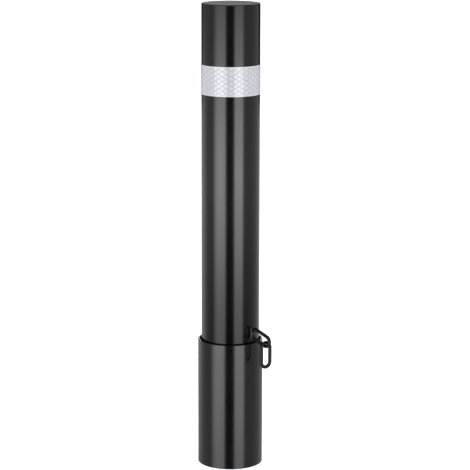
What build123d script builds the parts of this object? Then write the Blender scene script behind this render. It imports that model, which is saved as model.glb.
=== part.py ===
from build123d import *
from math import cos, pi, radians, sin, sqrt
import os

# A removable steel bollard. A round post stands in a ground sleeve, where two notches in its foot sit over
# a bar that crosses the sleeve. A chain eye is welded to the post just above the rim, and one link hangs in it.
# Millimetres. The origin is on the post's axis at the foot of the sleeve, +Z is up, and -Y is the front.

# Post
overall_height = 815.0
post_diameter = 101.6
post_wall = 3.0
post_foot_clearance = 8.0
tube_end_chamfer = 0.5
cap_thickness = 4.0
cap_edge_radius = 1.2

# Reflective tape, one wrap with its ends lapped at the back
band_below_top = 104.7
band_width = 50.8
band_thickness = 0.4
band_adhesive = 0.1
band_lap = 12.0

# Ground sleeve
sleeve_height = 225.0
sleeve_wall = 3.2
sleeve_clearance = 3.15
sleeve_rim_radius = 0.8
sleeve_foot_chamfer = 0.5

# Stop bar, welded across the sleeve
bar_diameter = 12.0
bar_height = 20.0
bar_fit = 0.1
bar_weld_clearance = 0.7
bar_weld_taper = 40.0
notch_clearance = 0.3

# Chain, all of one round wire
wire_diameter = 6.35
link_length = 50.0
link_width = 24.0
link_play = 0.3
link_twist = 12.0

# Chain eye, a link welded to the post by its end
eye_bearing = 45.0
eye_above_rim = 17.3
eye_droop = 18.0
eye_weld_sink = 0.6
eye_weld_fit = 0.1
eye_weld_radius = 3.5
eye_weld_spread = 7.2
eye_weld_rise = 2.0

# Sizes that follow from these
post_radius = post_diameter / 2
cap_base = overall_height - cap_thickness
bore_radius = post_radius + sleeve_clearance
sleeve_radius = bore_radius + sleeve_wall
band_base = overall_height - band_below_top - band_width
band_inner_radius = post_radius + band_adhesive
band_outer_radius = band_inner_radius + band_thickness
bar_radius = bar_diameter / 2
bar_weld_leg = sleeve_clearance - bar_weld_clearance
notch_radius = bar_radius + notch_clearance
wire_radius = wire_diameter / 2
link_bend = (link_width - wire_diameter) / 2
link_straight = link_length - link_width

os.makedirs("parts", exist_ok=True)

# Ground sleeve: a length of tube, open at both ends so that rain drains away, with its rim rounded off.
with BuildPart() as ground_sleeve:
    with BuildSketch():
        Circle(sleeve_radius)
        Circle(bore_radius, mode=Mode.SUBTRACT)
    extrude(amount=sleeve_height)
    sleeve_ends = ground_sleeve.faces().filter_by(Axis.Z).sort_by(Axis.Z)
    fillet(sleeve_ends[-1].edges(), radius=sleeve_rim_radius)
    chamfer(sleeve_ends[0].edges(), length=sleeve_foot_chamfer)
ground_sleeve.part.label = "ground_sleeve"

# Stop bar: a round bar with a fillet weld at each end, trimmed to the curve of the sleeve's bore.
with BuildPart() as stop_bar:
    with BuildSketch(Plane.YZ):
        with Locations((0, bar_height)):
            Circle(bar_radius)
    extrude(amount=bore_radius, both=True)
    for side in (-1, 1):
        with BuildSketch(Plane(origin=(side * bore_radius, 0, bar_height), z_dir=(-side, 0, 0))):
            Circle(bar_radius + bar_weld_leg)
        extrude(amount=bar_weld_leg, taper=bar_weld_taper)
    with Locations((0, 0, bar_height)):
        Cylinder(bore_radius - bar_fit, 4 * bar_diameter, mode=Mode.INTERSECT)
stop_bar.part.label = "stop_bar"

# Post tube: its foot is notched on both sides, and the round top of each notch sits on the stop bar.
with BuildPart() as post_tube:
    with BuildSketch(Plane.XY.offset(post_foot_clearance)):
        Circle(post_radius)
        Circle(post_radius - post_wall, mode=Mode.SUBTRACT)
    extrude(amount=cap_base - post_foot_clearance)
    post_foot = post_tube.faces().sort_by(Axis.Z)[0]
    chamfer(post_foot.edges(), length=tube_end_chamfer)
    with BuildSketch(Plane.YZ):
        with Locations((0, bar_height)):
            Circle(notch_radius)
        with Locations((0, bar_height / 2)):
            Rectangle(2 * notch_radius, bar_height)
    extrude(amount=post_diameter, both=True, mode=Mode.SUBTRACT)
post_tube.part.label = "post_tube"

# Top cap: a flat disc, welded on the tube's end and ground flush, with its upper edge rounded.
with BuildPart() as top_cap:
    with BuildSketch(Plane.XY.offset(cap_base)):
        Circle(post_radius)
    extrude(amount=cap_thickness)
    crown = top_cap.faces().sort_by(Axis.Z)[-1]
    fillet(crown.edges(), radius=cap_edge_radius)
top_cap.part.label = "top_cap"

# Reflective band: a ring of tape, and at the back a second layer where its end laps over its start.
with BuildPart() as reflective_band:
    with BuildSketch(Plane.XY.offset(band_base)):
        Circle(band_outer_radius)
        Circle(band_inner_radius, mode=Mode.SUBTRACT)
    extrude(amount=band_width)
    with BuildSketch(Plane.YZ):
        with Locations((band_inner_radius, band_base)):
            Rectangle(2 * band_thickness, band_width, align=(Align.MIN, Align.MIN))
    revolve(axis=Axis.Z, revolution_arc=band_lap / band_outer_radius * 180 / pi)
reflective_band.part.label = "reflective_band"


def link_path(plane):
    # The centreline of one link in a plane: limbs along the plane's X, and a half circle at each end.
    half = link_straight / 2
    with BuildLine(plane) as path:
        upper = Line((-half, link_bend), (half, link_bend))
        far_end = ThreePointArc(upper @ 1, (half + link_bend, 0), (half, -link_bend))
        lower = Line(far_end @ 1, (-half, -link_bend))
        ThreePointArc(lower @ 1, (-half - link_bend, 0), upper @ 0)
    return path.wire()


# The eye lies in an upright plane through the post's axis. Its near bend touches the post at eye_height.
up = Vector(0, 0, 1)
bearing = radians(eye_bearing)
outward = Vector(sin(bearing), -cos(bearing), 0)
sideways = Vector(cos(bearing), sin(bearing), 0)
eye_height = sleeve_height + eye_above_rim
eye_axis = outward * cos(radians(eye_droop)) - up * sin(radians(eye_droop))
near_bend = outward * (post_radius + wire_radius - eye_weld_sink + link_bend) + up * eye_height
far_bend = near_bend + eye_axis * link_straight
eye_plane = Plane(origin=(near_bend + far_bend) / 2, x_dir=eye_axis, z_dir=-sideways)
eye_path = link_path(eye_plane)

# Chain eye: one welded link, with a bead above and below where its bend meets the post.
with BuildPart() as chain_eye:
    with BuildSketch(Plane(origin=eye_path @ 0, z_dir=eye_path % 0)):
        Circle(wire_radius)
    sweep(path=eye_path)
    with Locations(*[
        outward * (post_radius + eye_weld_rise) + up * (eye_height + rise)
        for rise in (-eye_weld_spread, eye_weld_spread)
    ]):
        Sphere(eye_weld_radius)
    with Locations((0, 0, eye_height)):
        Cylinder(post_radius + eye_weld_fit, 2 * link_length, mode=Mode.SUBTRACT)
chain_eye.part.label = "chain_eye"

# The hanging link's upper bend rides on the lowest point of the eye's far bend.
eye_low_point = far_bend - up * link_bend
hang_bearing = bearing - radians(link_twist)
link_top = eye_low_point + up * (wire_diameter + link_play)
link_centre = link_top - up * (link_length - wire_diameter) / 2
link_plane = Plane(origin=link_centre, x_dir=-up, z_dir=(sin(hang_bearing), -cos(hang_bearing), 0))
hanging_path = link_path(link_plane)

# Chain link: the same link again, hanging upright and free to swing.
with BuildPart() as chain_link:
    with BuildSketch(Plane(origin=hanging_path @ 0, z_dir=hanging_path % 0)):
        Circle(wire_radius)
    sweep(path=hanging_path)
chain_link.part.label = "chain_link"

for piece in (ground_sleeve, stop_bar, post_tube, top_cap, reflective_band, chain_eye, chain_link):
    export_step(piece.part, f"parts/{piece.part.label}.step")

print("eye low point", eye_low_point, "link centre", link_centre)
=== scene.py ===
import math
import bpy
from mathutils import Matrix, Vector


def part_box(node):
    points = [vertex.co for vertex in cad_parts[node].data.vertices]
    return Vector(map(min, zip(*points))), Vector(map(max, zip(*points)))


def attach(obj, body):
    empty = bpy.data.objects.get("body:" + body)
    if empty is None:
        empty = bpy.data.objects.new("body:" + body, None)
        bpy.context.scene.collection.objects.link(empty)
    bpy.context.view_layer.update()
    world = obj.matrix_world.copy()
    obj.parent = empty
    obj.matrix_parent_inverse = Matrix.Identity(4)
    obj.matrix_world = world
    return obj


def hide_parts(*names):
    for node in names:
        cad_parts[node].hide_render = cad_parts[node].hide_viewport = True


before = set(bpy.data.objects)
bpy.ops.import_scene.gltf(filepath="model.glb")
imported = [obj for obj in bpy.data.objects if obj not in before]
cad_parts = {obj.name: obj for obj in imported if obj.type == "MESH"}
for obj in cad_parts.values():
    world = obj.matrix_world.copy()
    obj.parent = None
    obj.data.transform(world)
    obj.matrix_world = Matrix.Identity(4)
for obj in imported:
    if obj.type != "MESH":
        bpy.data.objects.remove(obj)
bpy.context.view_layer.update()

# Ground sleeve: a length of steel tube, cut square, that is set in the ground to its rim. It is
# coated black like the post: a sprayed powder, baked into a satin skin that keeps a fine orange
# peel and thins a little over the rim.
COAT_BLACK = (0.0026, 0.0026, 0.0028, 1)
COAT_THIN = (0.0050, 0.0050, 0.0053, 1)
DRIFT_PER_METRE = 11
DRIFT_DETAIL = 3
DRIFT_LOW = 0.3
DRIFT_HIGH = 0.7
ROUGHNESS_DRIFT = 0.02
PEEL_PER_METRE = 620
PEEL_DETAIL = 1.5
PEEL_DEPTH = 0.0002
SLEEVE_ROUGHNESS = 0.20
SLEEVE_SHINE = 0.35
WORN_WIDTH = 0.004


def by_height(nodes, join, place, start, end):
    """A value that runs from 0 at one height of the piece to 1 at another."""
    height = nodes.new("ShaderNodeSeparateXYZ")
    join(place.outputs["Object"], height.inputs["Vector"])
    run = nodes.new("ShaderNodeMapRange")
    run.inputs["From Min"].default_value = start
    run.inputs["From Max"].default_value = end
    join(height.outputs["Z"], run.inputs["Value"])
    return run


def powder_coat(name, roughness, shine=0.5, peel=0.05, worn=None, rim_shade=None):
    """A baked powder coat. It pales as it thins between the two heights of worn. Between the two
    heights of the last argument its reflections dim to the share given for the first: painted shade."""
    coat = bpy.data.materials.new(name)
    coat.use_nodes = True
    nodes, join = coat.node_tree.nodes, coat.node_tree.links.new
    skin = nodes["Principled BSDF"]
    skin.inputs["Specular IOR Level"].default_value = shine
    place = nodes.new("ShaderNodeTexCoord")

    drift = nodes.new("ShaderNodeTexNoise")
    drift.inputs["Scale"].default_value = DRIFT_PER_METRE
    drift.inputs["Detail"].default_value = DRIFT_DETAIL
    join(place.outputs["Object"], drift.inputs["Vector"])
    satin = nodes.new("ShaderNodeMapRange")
    satin.inputs["From Min"].default_value = DRIFT_LOW
    satin.inputs["From Max"].default_value = DRIFT_HIGH
    satin.inputs["To Min"].default_value = roughness - ROUGHNESS_DRIFT
    satin.inputs["To Max"].default_value = roughness + ROUGHNESS_DRIFT
    join(drift.outputs["Fac"], satin.inputs["Value"])
    join(satin.outputs["Result"], skin.inputs["Roughness"])

    shade = nodes.new("ShaderNodeMix")
    shade.data_type = "RGBA"
    shade.inputs["A"].default_value = COAT_BLACK
    shade.inputs["B"].default_value = COAT_THIN
    if worn is None:
        join(drift.outputs["Fac"], shade.inputs["Factor"])
    else:
        rub = by_height(nodes, join, place, *worn)
        patch = nodes.new("ShaderNodeMath")
        patch.operation = "MULTIPLY"
        join(rub.outputs["Result"], patch.inputs[0])
        join(drift.outputs["Fac"], patch.inputs[1])
        join(patch.outputs["Value"], shade.inputs["Factor"])
    join(shade.outputs["Result"], skin.inputs["Base Color"])
    # Painted shade: the specular tint dims the reflections between two heights.
    if rim_shade is not None:
        low, high, least = rim_shade
        rim_shade_ramp = by_height(nodes, join, place, low, high)
        rim_shade_ramp.interpolation_type = "SMOOTHSTEP"
        rim_shade_ramp.inputs["To Min"].default_value = least
        join(rim_shade_ramp.outputs["Result"], skin.inputs["Specular Tint"])

    orange_peel = nodes.new("ShaderNodeTexNoise")
    orange_peel.inputs["Scale"].default_value = PEEL_PER_METRE
    orange_peel.inputs["Detail"].default_value = PEEL_DETAIL
    join(place.outputs["Object"], orange_peel.inputs["Vector"])
    relief = nodes.new("ShaderNodeBump")
    relief.inputs["Strength"].default_value = peel
    relief.inputs["Distance"].default_value = PEEL_DEPTH
    join(orange_peel.outputs["Fac"], relief.inputs["Height"])
    join(relief.outputs["Normal"], skin.inputs["Normal"])
    return coat


def finish_node(name, material):
    """Gives a node of the frame one finish all over."""
    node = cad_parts[name]
    node.data.materials.clear()
    node.data.materials.append(material)


rim_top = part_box("ground_sleeve")[1].z
finish_node("ground_sleeve", powder_coat("sleeve_powder_coat", SLEEVE_ROUGHNESS, SLEEVE_SHINE,
                                         worn=(rim_top - WORN_WIDTH, rim_top)))

# Stop bar: a round steel bar that is welded across the foot of the sleeve and coated with it.
# The post's two notches stand over it, so its top is rubbed where the post comes down.
BAR_ROUGHNESS = 0.34
BAR_PEEL = 0.09
bar_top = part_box("stop_bar")[1].z
finish_node("stop_bar", powder_coat("bar_powder_coat", BAR_ROUGHNESS, peel=BAR_PEEL,
                                    worn=(bar_top - WORN_WIDTH, bar_top)))

# Post: a straight steel tube, open and notched at its foot and closed by the cap at its top. Its
# coat is the sleeve's. It thins over the stretch that goes in and out of the sleeve, and its
# reflections dim from the middle down to the rim: painted shade where the post meets the sleeve.
POST_ROUGHNESS = 0.20
# Painted shade: the post's reflections dim towards the rim, down to a share of their strength.
RIM_SHADE_HEIGHT = 0.34
RIM_SHADE_LEAST = 0.37
post_low, post_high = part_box("post_tube")
finish_node("post_tube", powder_coat("post_powder_coat", POST_ROUGHNESS,
                                     worn=(rim_top, post_low.z),
                                     rim_shade=(rim_top, rim_top + RIM_SHADE_HEIGHT, RIM_SHADE_LEAST)))

# Top cap: a flat steel disc that keeps rain out of the tube. It is welded on the tube's end,
# ground flush with it and rounded at its upper edge, and coated with it.
CAP_ROUGHNESS = 0.22
CAP_PEEL = 0.07
finish_node("top_cap", powder_coat("cap_powder_coat", CAP_ROUGHNESS, peel=CAP_PEEL))

# Reflective band: one strip of silver-white film, wound once round the post below its top and
# lapped at the back. Its face is pressed into six-sided cushions between sealed lines, with a
# plain sealed edge above and below, and it sticks by its own adhesive.
FILM_THICKNESS = 0.0004
LAP_LENGTH = 0.012
LAP_TUCK = 0.0001
EDGE_WIDTH = 0.0020
CELL_PITCH = 0.0083
SEAL_WIDTH = 0.0009
CUSHION_RISE = 0.00022
CUSHION_STEPS = ((SEAL_WIDTH * 0.7, CUSHION_RISE * 0.6), (SEAL_WIDTH * 1.3, CUSHION_RISE * 0.35))
CUSHION_CROWN = CUSHION_RISE * 0.05
SHEET_GAP = 0.00004
MERGE_REACH = 0.00002
FACET_LENGTH = 0.0033
SMOOTH_BELOW = 40
FILM_SILVER = (0.70, 0.70, 0.76, 1)
# Painted shade and highlight: the film is darker down in the grooves and lightest on the crowns.
FILM_SEAL_AND_SHADE = (0.54, 0.54, 0.60, 1)
CUSHION_SHADE_SCALE = 0.8
FILM_ROUGHNESS = 0.24
FILM_SHINE = 0.8
GRAIN_PER_METRE = 2600
GRAIN_ROUGHNESS = 0.06
GRAIN_STRENGTH = 0.08
GRAIN_DEPTH = 0.0001

band_low, band_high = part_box("reflective_band")
film_face = band_high.x
half_round = math.pi * film_face
film_height = band_high.z - band_low.z
film_middle = (band_high.z + band_low.z) / 2
film_edges = (band_low.z + EDGE_WIDTH, band_high.z - EDGE_WIDTH)
cell_corner = CELL_PITCH / math.sqrt(3)
column_pitch = CELL_PITCH * math.sqrt(3) / 2


def select_nothing():
    """Leaves edit mode and every object unselected."""
    if bpy.context.object and bpy.context.object.mode != "OBJECT":
        bpy.ops.object.mode_set(mode="OBJECT")
    bpy.ops.object.select_all(action="DESELECT")


def apply_all(piece):
    """Applies the piece's modifiers in turn, then its place, turn and scale."""
    bpy.context.view_layer.objects.active = piece
    piece.select_set(True)
    for modifier in list(piece.modifiers):
        bpy.ops.object.modifier_apply(modifier=modifier.name)
    bpy.ops.object.transform_apply(location=True, rotation=True, scale=True)


def repeat(piece, count, step):
    """Adds an array of the piece with a fixed step, merged where the copies touch."""
    row = piece.modifiers.new("row", "ARRAY")
    row.count = count
    row.use_relative_offset = False
    row.use_constant_offset = True
    row.constant_offset_displace = step
    row.use_merge_vertices = True
    row.merge_threshold = MERGE_REACH


def cut(point, normal, drop=True):
    """Cuts the mesh in edit mode by a plane, and may drop what lies on the normal's side."""
    bpy.ops.mesh.select_all(action="SELECT")
    bpy.ops.mesh.bisect(plane_co=point, plane_no=normal, clear_outer=drop)


def cushion_sheet(name, start, end, face):
    """The pressed face of the film: a thin sheet of cushions from start to end along X."""
    select_nothing()
    bpy.ops.mesh.primitive_circle_add(vertices=6, radius=cell_corner, fill_type="NGON",
                                      location=(0, 0, 0),
                                      rotation=(math.radians(90), math.radians(30), 0))
    sheet = bpy.context.object
    sheet.name = name
    bpy.ops.object.transform_apply(location=True, rotation=True, scale=True)
    bpy.ops.object.mode_set(mode="EDIT")
    bpy.ops.mesh.select_all(action="SELECT")
    bpy.ops.mesh.inset(thickness=SEAL_WIDTH / 2, depth=0)
    for width, rise in CUSHION_STEPS:
        bpy.ops.mesh.inset(thickness=width, depth=rise)
    bpy.ops.mesh.poke(offset=CUSHION_CROWN)
    bpy.ops.mesh.select_all(action="SELECT")
    bpy.ops.mesh.duplicate()
    bpy.ops.transform.translate(value=(column_pitch, 0, CELL_PITCH / 2))
    bpy.ops.object.mode_set(mode="OBJECT")
    # Painted shade and highlight: each point is lighter the higher it stands on its cushion.
    tone_and_relief_shade = sheet.data.attributes.new("tone_and_relief_shade", "FLOAT", "POINT")
    for point, share in zip(sheet.data.vertices, tone_and_relief_shade.data):
        share.value = -point.co.y / CUSHION_RISE * CUSHION_SHADE_SCALE

    columns = math.ceil((end - start) / (2 * column_pitch)) + 2
    rows = math.ceil(film_height / CELL_PITCH) + 2
    repeat(sheet, columns, (2 * column_pitch, 0, 0))
    repeat(sheet, rows, (0, 0, CELL_PITCH))
    sheet.location = (math.floor(start / (2 * column_pitch)) * 2 * column_pitch, 0,
                      film_middle - (rows - 0.5) / 2 * CELL_PITCH)
    apply_all(sheet)
    bpy.ops.object.mode_set(mode="EDIT")
    cut((start, 0, 0), (-1, 0, 0))
    cut((end, 0, 0), (1, 0, 0))
    cut((0, 0, film_edges[1]), (0, 0, 1))
    cut((0, 0, film_edges[0]), (0, 0, -1))
    bpy.ops.mesh.select_all(action="SELECT")
    bpy.ops.mesh.remove_doubles(threshold=MERGE_REACH)
    bpy.ops.transform.translate(value=(0, face + CUSHION_RISE, 0))
    bpy.ops.object.mode_set(mode="OBJECT")
    skin = sheet.modifiers.new("skin", "SOLIDIFY")
    skin.thickness = SHEET_GAP / 2
    skin.offset = -1
    apply_all(sheet)
    return sheet


def film_backing(start, end, face):
    """The film's body: its section, with a recess for the cushions, drawn out along X."""
    select_nothing()
    recess = face + CUSHION_RISE + SHEET_GAP
    bpy.ops.mesh.primitive_plane_add(size=1, rotation=(0, math.radians(90), 0),
                                     location=(start, face + FILM_THICKNESS / 2, film_middle))
    backing = bpy.context.object
    backing.scale = (film_height, FILM_THICKNESS, 1)
    bpy.ops.object.transform_apply(location=True, rotation=True, scale=True)
    bpy.ops.object.mode_set(mode="EDIT")
    cut((0, 0, film_edges[1]), (0, 0, 1), drop=False)
    cut((0, 0, film_edges[0]), (0, 0, 1), drop=False)
    cut((0, recess, 0), (0, 1, 0), drop=False)
    bpy.ops.mesh.select_mode(type="FACE")
    bpy.ops.mesh.select_all(action="DESELECT")
    bpy.ops.object.mode_set(mode="OBJECT")
    for part in backing.data.polygons:
        in_recess = film_edges[0] < part.center.z < film_edges[1]
        part.select = in_recess and part.center.y < recess
    bpy.ops.object.mode_set(mode="EDIT")
    bpy.ops.mesh.delete(type="FACE")
    bpy.ops.mesh.select_all(action="SELECT")
    bpy.ops.mesh.extrude_region_move(TRANSFORM_OT_translate={"value": (end - start, 0, 0)})
    bpy.ops.mesh.select_all(action="SELECT")
    bpy.ops.mesh.normals_make_consistent(inside=False)

    bpy.ops.mesh.select_mode(type="EDGE")
    bpy.ops.mesh.select_all(action="DESELECT")
    bpy.ops.object.mode_set(mode="OBJECT")
    for line in backing.data.edges:
        one, other = (backing.data.vertices[index].co.x for index in line.vertices)
        line.select = abs(one - other) > (end - start) / 2
    bpy.ops.object.mode_set(mode="EDIT")
    bpy.ops.mesh.subdivide(number_cuts=math.ceil((end - start) / FACET_LENGTH) - 1)
    bpy.ops.object.mode_set(mode="OBJECT")
    tone_and_relief_shade = backing.data.attributes.new("tone_and_relief_shade", "FLOAT", "POINT")
    for share in tone_and_relief_shade.data:
        share.value = 1
    return backing


def film_strip(name, start, end, face):
    """A flat strip of the film from start to end along X, with its face at y = face."""
    sheet = cushion_sheet(name, start, end, face)
    film_backing(start, end, face)
    sheet.select_set(True)
    bpy.context.view_layer.objects.active = sheet
    bpy.ops.object.join()
    return sheet


def honeycomb_film():
    """Silver-white film. The sealed lines are greyer than the cushions, partly the film's own
    tone and partly painted shade in the grooves, and each cushion is lightest on its crown, a
    painted highlight.
    """
    film = bpy.data.materials.new("honeycomb_film")
    film.use_nodes = True
    nodes, join = film.node_tree.nodes, film.node_tree.links.new
    skin = nodes["Principled BSDF"]
    skin.inputs["Specular IOR Level"].default_value = FILM_SHINE
    tone_and_relief_shade = nodes.new("ShaderNodeAttribute")
    tone_and_relief_shade.attribute_name = "tone_and_relief_shade"
    shade = nodes.new("ShaderNodeMix")
    shade.data_type = "RGBA"
    shade.inputs["A"].default_value = FILM_SEAL_AND_SHADE
    shade.inputs["B"].default_value = FILM_SILVER
    join(tone_and_relief_shade.outputs["Fac"], shade.inputs["Factor"])
    join(shade.outputs["Result"], skin.inputs["Base Color"])

    place = nodes.new("ShaderNodeTexCoord")
    grain = nodes.new("ShaderNodeTexNoise")
    grain.inputs["Scale"].default_value = GRAIN_PER_METRE
    join(place.outputs["Object"], grain.inputs["Vector"])
    satin = nodes.new("ShaderNodeMapRange")
    satin.inputs["To Min"].default_value = FILM_ROUGHNESS - GRAIN_ROUGHNESS
    satin.inputs["To Max"].default_value = FILM_ROUGHNESS + GRAIN_ROUGHNESS
    join(grain.outputs["Fac"], satin.inputs["Value"])
    join(satin.outputs["Result"], skin.inputs["Roughness"])
    relief = nodes.new("ShaderNodeBump")
    relief.inputs["Strength"].default_value = GRAIN_STRENGTH
    relief.inputs["Distance"].default_value = GRAIN_DEPTH
    join(grain.outputs["Fac"], relief.inputs["Height"])
    join(relief.outputs["Normal"], skin.inputs["Normal"])
    return film


band = film_strip("honeycomb_band", -half_round, half_round, 0)
lap = film_strip("honeycomb_lap", half_round - LAP_TUCK, half_round + LAP_LENGTH, -FILM_THICKNESS)
select_nothing()
band.select_set(True)
lap.select_set(True)
bpy.context.view_layer.objects.active = band
bpy.ops.object.join()
wind = band.modifiers.new("wind", "SIMPLE_DEFORM")
wind.deform_method = "BEND"
wind.deform_axis = "Z"
wind.angle = (2 * half_round + LAP_LENGTH) / film_face
apply_all(band)
bpy.ops.object.mode_set(mode="EDIT")
bpy.ops.mesh.select_all(action="SELECT")
bpy.ops.transform.translate(value=(0, -film_face, 0))
bpy.ops.object.mode_set(mode="OBJECT")
bpy.ops.object.shade_smooth_by_angle(angle=math.radians(SMOOTH_BELOW))
band.data.materials.clear()
band.data.materials.append(honeycomb_film())
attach(band, "post")
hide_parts("reflective_band")

# Chain eye and hanging link: two welded links of round wire, coated black like the post. The
# first is welded to the post by its end and the second hangs loose in it. The weld's beads keep
# their ripples and the coat lies smoother on them; their lighter colour is a painted highlight.
CHAIN_ROUGHNESS = 0.36
CHAIN_SHINE = 0.2
CHAIN_PEEL = 0.10
WELD_REACH = 0.0050
WELD_FADE = 0.001
WELD_ROUGHNESS = 0.16
# Painted highlight: the beads' lighter base colour, where light catches them.
WELD_PAINTED_HIGHLIGHT = (0.045, 0.045, 0.047, 1)
RIPPLE_SCALE = 300
RIPPLE_WANDER = 1.5
RIPPLE_DEPTH = 0.00006


def weld_beads_and_highlight(coat, post_radius):
    """Changes a coat near the post's surface into that on the beads of the weld: smoother and
    rippled, with a lighter base colour that is a painted highlight.
    """
    nodes, join = coat.node_tree.nodes, coat.node_tree.links.new
    skin = nodes["Principled BSDF"]
    place = nodes.new("ShaderNodeTexCoord")
    level_part = nodes.new("ShaderNodeVectorMath")
    level_part.operation = "MULTIPLY"
    level_part.inputs[1].default_value = (1, 1, 0)
    join(place.outputs["Object"], level_part.inputs[0])
    from_axis = nodes.new("ShaderNodeVectorMath")
    from_axis.operation = "LENGTH"
    join(level_part.outputs["Vector"], from_axis.inputs[0])
    weld = nodes.new("ShaderNodeMapRange")
    weld.inputs["From Min"].default_value = post_radius + WELD_REACH
    weld.inputs["From Max"].default_value = post_radius + WELD_REACH + WELD_FADE
    weld.inputs["To Min"].default_value = 1
    weld.inputs["To Max"].default_value = 0
    join(from_axis.outputs["Value"], weld.inputs["Value"])

    smoother = nodes.new("ShaderNodeMix")
    smoother.inputs["B"].default_value = WELD_ROUGHNESS
    join(weld.outputs["Result"], smoother.inputs["Factor"])
    join(skin.inputs["Roughness"].links[0].from_socket, smoother.inputs["A"])
    join(smoother.outputs["Result"], skin.inputs["Roughness"])
    # Painted highlight: the base colour turns lighter on the beads.
    weld_painted_highlight = nodes.new("ShaderNodeMix")
    weld_painted_highlight.data_type = "RGBA"
    weld_painted_highlight.inputs["B"].default_value = WELD_PAINTED_HIGHLIGHT
    join(weld.outputs["Result"], weld_painted_highlight.inputs["Factor"])
    join(skin.inputs["Base Color"].links[0].from_socket, weld_painted_highlight.inputs["A"])
    join(weld_painted_highlight.outputs["Result"], skin.inputs["Base Color"])

    ripples = nodes.new("ShaderNodeTexWave")
    ripples.bands_direction = "Z"
    ripples.inputs["Scale"].default_value = RIPPLE_SCALE
    ripples.inputs["Distortion"].default_value = RIPPLE_WANDER
    join(place.outputs["Object"], ripples.inputs["Vector"])
    rippled = nodes.new("ShaderNodeBump")
    rippled.inputs["Distance"].default_value = RIPPLE_DEPTH
    join(weld.outputs["Result"], rippled.inputs["Strength"])
    join(ripples.outputs["Fac"], rippled.inputs["Height"])
    join(skin.inputs["Normal"].links[0].from_socket, rippled.inputs["Normal"])
    join(rippled.outputs["Normal"], skin.inputs["Normal"])


eye_coat = powder_coat("eye_powder_coat", CHAIN_ROUGHNESS, CHAIN_SHINE, CHAIN_PEEL)
weld_beads_and_highlight(eye_coat, post_high.x)
finish_node("chain_eye", eye_coat)
finish_node("chain_link", powder_coat("link_powder_coat", CHAIN_ROUGHNESS, CHAIN_SHINE, CHAIN_PEEL))

# Studio floor: a plain pale floor that runs out of sight. It is kept out of reflections, so that
# the tall soft boxes show in the coat down to the foot.
FLOOR_SIDE = 60
FLOOR_WHITE = (0.90, 0.90, 0.90, 1)
FLOOR_GLOW = 0.94
select_nothing()
bpy.ops.mesh.primitive_plane_add(size=FLOOR_SIDE, location=(0, 0, 0))
floor = bpy.context.object
floor.name = "floor"
floor_paint = bpy.data.materials.new("floor_paint")
floor_paint.use_nodes = True
floor_skin = floor_paint.node_tree.nodes["Principled BSDF"]
floor_skin.inputs["Base Color"].default_value = FLOOR_WHITE
floor_skin.inputs["Roughness"].default_value = 1
floor_skin.inputs["Specular IOR Level"].default_value = 0
floor_skin.inputs["Emission Color"].default_value = (1, 1, 1, 1)
floor_skin.inputs["Emission Strength"].default_value = FLOOR_GLOW
floor.data.materials.append(floor_paint)
floor.visible_glossy = False
floor.visible_shadow = False

# Studio sky: plain white where the camera sees it. The bollard is lit by one in soft levels,
# from straight down (-1) to straight up (1): pale below, dark a third of the way up, then pale.
SKY_LEVELS = ((-1.0, 0.66), (-0.17, 0.66), (0.0, 0.30), (0.05, 0.42), (0.14, 0.42), (0.26, 0.06),
              (0.36, 0.06), (0.46, 0.7), (0.76, 0.7), (1.0, 0.3))


def set_levels(ramp, levels):
    """Gives a colour ramp one grey for each place along it, and nothing else."""
    while len(ramp.elements) > 1:
        ramp.elements.remove(ramp.elements[-1])
    for index, (at, strength) in enumerate(levels):
        stop = ramp.elements[0] if index == 0 else ramp.elements.new(at)
        stop.position = at
        stop.color = (strength, strength, strength, 1)


def studio_sky():
    """A world that is white to the camera and in levels to everything else."""
    sky = bpy.data.worlds.new("studio")
    sky.use_nodes = True
    nodes, join = sky.node_tree.nodes, sky.node_tree.links.new
    way = nodes.new("ShaderNodeTexCoord")
    upward = nodes.new("ShaderNodeSeparateXYZ")
    join(way.outputs["Generated"], upward.inputs["Vector"])
    along = nodes.new("ShaderNodeMapRange")
    along.inputs["From Min"].default_value = -1
    join(upward.outputs["Z"], along.inputs["Value"])
    level = nodes.new("ShaderNodeValToRGB")
    set_levels(level.color_ramp, [((toward + 1) / 2, strength) for toward, strength in SKY_LEVELS])
    join(along.outputs["Result"], level.inputs["Fac"])
    seen = nodes.new("ShaderNodeLightPath")
    backdrop = nodes.new("ShaderNodeMix")
    join(seen.outputs["Is Camera Ray"], backdrop.inputs["Factor"])
    join(level.outputs["Color"], backdrop.inputs["A"])
    backdrop.inputs["B"].default_value = 1
    nodes["Background"].inputs["Color"].default_value = (1, 1, 1, 1)
    join(backdrop.outputs["Result"], nodes["Background"].inputs["Strength"])
    return sky


bpy.context.scene.world = studio_sky()

# Soft boxes: two tall ones beside the camera draw the two bright stripes down the coat. Behind,
# one lights the left edge and one the back. A row gives a box's bearings, its strength, and the
# shares of its width between which the light rises. It fades towards both ends as well.
BOX_DISTANCE = 1.5
BOX_LOW = -0.70
BOX_HIGH = 0.90
BOX_FADE = ((-0.62, 0.45), (-0.25, 0.95), (0.10, 1.0), (0.30, 0.98),
            (0.46, 0.74), (0.58, 0.50), (0.72, 0.26), (0.88, 0.1))
BOXES = (("soft_box_left", -69, -19.5, 5.8, (-0.25, 0.45)),
         ("soft_box_right", 14.5, 52, 5.8, (1.0, 0.86)),
         ("soft_box_behind", -156, -112, 0.95, (0.0, 0.30)),
         ("soft_box_back", 170, 190, 3.2, (-1.0, 0.0)))


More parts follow.
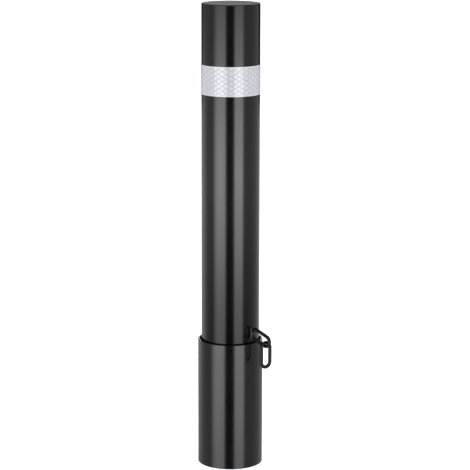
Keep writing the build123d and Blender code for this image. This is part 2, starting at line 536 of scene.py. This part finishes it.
def stage_screen(name, from_bearing, to_bearing, low, high, material):
    """An upright screen that fills the bearings from the post, seen by reflections alone."""
    bearing = math.radians((from_bearing + to_bearing) / 2)
    width = 2 * BOX_DISTANCE * math.tan(math.radians((to_bearing - from_bearing) / 2))
    middle = (BOX_DISTANCE * math.sin(bearing), -BOX_DISTANCE * math.cos(bearing), (low + high) / 2)
    bpy.ops.mesh.primitive_plane_add(size=1, location=middle, rotation=(math.radians(90), 0, bearing))
    screen = bpy.context.object
    screen.name = name
    screen.scale = (width, high - low, 1)
    screen.data.materials.append(material)
    screen.visible_camera = False
    screen.visible_diffuse = False
    screen.visible_shadow = False


def soft_light(name, level, low, high, edge):
    """A lit cloth whose light fades up and down, and towards one edge, in its own UV map."""
    cloth = bpy.data.materials.new(name)
    cloth.use_nodes = True
    nodes, join = cloth.node_tree.nodes, cloth.node_tree.links.new
    place = nodes.new("ShaderNodeTexCoord")
    along = nodes.new("ShaderNodeSeparateXYZ")
    join(place.outputs["UV"], along.inputs["Vector"])
    up_and_down = nodes.new("ShaderNodeValToRGB")
    up_and_down.color_ramp.interpolation = "B_SPLINE"
    set_levels(up_and_down.color_ramp, [((at - low) / (high - low), strength) for at, strength in BOX_FADE])
    join(along.outputs["Y"], up_and_down.inputs["Fac"])
    across = nodes.new("ShaderNodeMapRange")
    across.interpolation_type = "SMOOTHSTEP"
    across.inputs["From Min"].default_value = edge[0]
    across.inputs["From Max"].default_value = edge[1]
    across.inputs["To Max"].default_value = level
    join(along.outputs["X"], across.inputs["Value"])
    light = nodes.new("ShaderNodeMath")
    light.operation = "MULTIPLY"
    join(up_and_down.outputs["Color"], light.inputs[0])
    join(across.outputs["Result"], light.inputs[1])
    skin = nodes["Principled BSDF"]
    skin.inputs["Base Color"].default_value = (0, 0, 0, 1)
    skin.inputs["Specular IOR Level"].default_value = 0
    skin.inputs["Emission Color"].default_value = (1, 1, 1, 1)
    join(light.outputs["Value"], skin.inputs["Emission Strength"])
    return cloth


for name, left, right, level, edge in BOXES:
    stage_screen(name, left, right, BOX_LOW, BOX_HIGH, soft_light(name, level, BOX_LOW, BOX_HIGH, edge))

# Black flags: screens of black felt. A tall one between the two soft boxes keeps the dark stripe
# down the front, and two high up behind darken both edges of the coat above the band.
FLAGS = (("black_flag", -19.5, 14.5, -2.5, 2.5),
         ("black_flag_back_left", -168, -127, 0.44, 0.90),
         ("black_flag_back_right", 136, 168, 0.44, 0.90))
felt = bpy.data.materials.new("flag_felt")
felt.use_nodes = True
felt.node_tree.nodes["Principled BSDF"].inputs["Base Color"].default_value = (0, 0, 0, 1)
felt.node_tree.nodes["Principled BSDF"].inputs["Specular IOR Level"].default_value = 0
for name, left, right, low, high in FLAGS:
    stage_screen(name, left, right, low, high, felt)

# Top soft box: a square lamp overhead, a little to the front. It gives the even light that the
# film scatters, and shows in no reflection.
TOP_BOX_PLACE = (0, -0.6, 2.6)
TOP_BOX_SIDE = 2.4
TOP_BOX_WATTS = 10
bpy.ops.object.light_add(type="AREA", location=TOP_BOX_PLACE)
top_box = bpy.context.object
top_box.name = "soft_box_top"
top_box.data.size = TOP_BOX_SIDE
top_box.data.energy = TOP_BOX_WATTS
top_box.visible_camera = False
top_box.visible_glossy = False

# Camera: a long lens, higher than the post's top, tipped down at its middle and rolled by a tenth
# of a degree. Its frame is moved a little, so that the post stands left of the centre.
CAMERA_DISTANCE = 3.3417
CAMERA_HEIGHT = 1.0867
CAMERA_TIP = 11.444
CAMERA_ROLL = 0.1
SENSOR_WIDTH = 36
LENS_PIXELS = 1948.8
AXIS_LEFT_OF_CENTRE = 3.83
PICTURE_SIDE = 470
bpy.ops.object.camera_add(location=(0, -CAMERA_DISTANCE, CAMERA_HEIGHT),
                          rotation=(math.radians(90 - CAMERA_TIP), math.radians(-CAMERA_ROLL), 0))
camera = bpy.context.object
camera.data.sensor_width = SENSOR_WIDTH
camera.data.lens = LENS_PIXELS / PICTURE_SIDE * SENSOR_WIDTH
camera.data.shift_x = AXIS_LEFT_OF_CENTRE / PICTURE_SIDE
bpy.context.scene.camera = camera
bpy.context.scene.view_settings.view_transform = "Standard"
